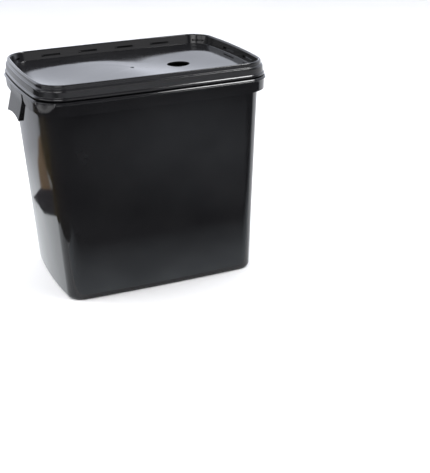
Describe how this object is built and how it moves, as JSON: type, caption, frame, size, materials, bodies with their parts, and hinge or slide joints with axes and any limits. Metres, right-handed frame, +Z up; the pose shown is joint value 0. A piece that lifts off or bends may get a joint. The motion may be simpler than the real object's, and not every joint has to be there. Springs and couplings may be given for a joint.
{
  "type": "bucket pond filter",
  "caption": "Tapered rectangular pail filter with a press-on lid that has a feed hole, foam mats and bio balls inside, and a swivelling hose elbow at the back.",
  "frame": {"origin": "middle of the pail's flat underside", "axes": "+Z up, +X along the pail's long side towards the feed hole, +Y towards the back wall with the outlet"},
  "size_m": [0.4128, 0.3596, 0.369],
  "materials": {
    "gloss_black_pp": "glossy moulded polypropylene, black",
    "satin_black_plastic": "satin moulded plastic, black",
    "black_rubber": "matt rubber, black",
    "bio_ball_plastic": "satin moulded plastic, black",
    "foam_coarse": "open-cell filter foam, coarse, blue",
    "foam_medium": "open-cell filter foam, medium, green",
    "foam_fine": "open-cell filter foam, fine, dark grey"
  },
  "bodies": {
    "pail": {"bucket": "gloss_black_pp", "spray_tray": "satin_black_plastic", "foam_coarse": "foam_coarse", "foam_medium": "foam_medium", "foam_fine": "foam_fine", "divider_grid": "satin_black_plastic", "support_grid": "satin_black_plastic", "outlet_strainer": "satin_black_plastic", "outlet_bulkhead": "satin_black_plastic", "outlet_gasket_inner": "black_rubber", "outlet_gasket_outer": "black_rubber", "outlet_lock_nut": "satin_black_plastic", "outlet_union_nut": "satin_black_plastic", "bio_ball_01": "bio_ball_plastic", "bio_ball_02": "bio_ball_plastic", "bio_ball_03": "bio_ball_plastic", "bio_ball_04": "bio_ball_plastic", "bio_ball_05": "bio_ball_plastic", "bio_ball_06": "bio_ball_plastic", "bio_ball_07": "bio_ball_plastic", "bio_ball_08": "bio_ball_plastic", "bio_ball_09": "bio_ball_plastic", "bio_ball_10": "bio_ball_plastic", "bio_ball_11": "bio_ball_plastic", "bio_ball_12": "bio_ball_plastic"},
    "lid": {"lid": "gloss_black_pp", "lid_seal": "black_rubber"},
    "elbow": {"outlet_elbow": "satin_black_plastic", "elbow_o_ring": "black_rubber"}
  },
  "joints": [
    {"name": "lid_lift", "type": "slide", "parent": "pail", "child": "lid", "axis": [0, 0, 1], "range_m": [0, 0.25]},
    {"name": "outlet_swivel", "type": "hinge", "parent": "pail", "child": "elbow", "pos_m": [0, 0.15, 0.062], "axis": [0, -1, 0], "range_deg": [0, 180]}
  ]
}
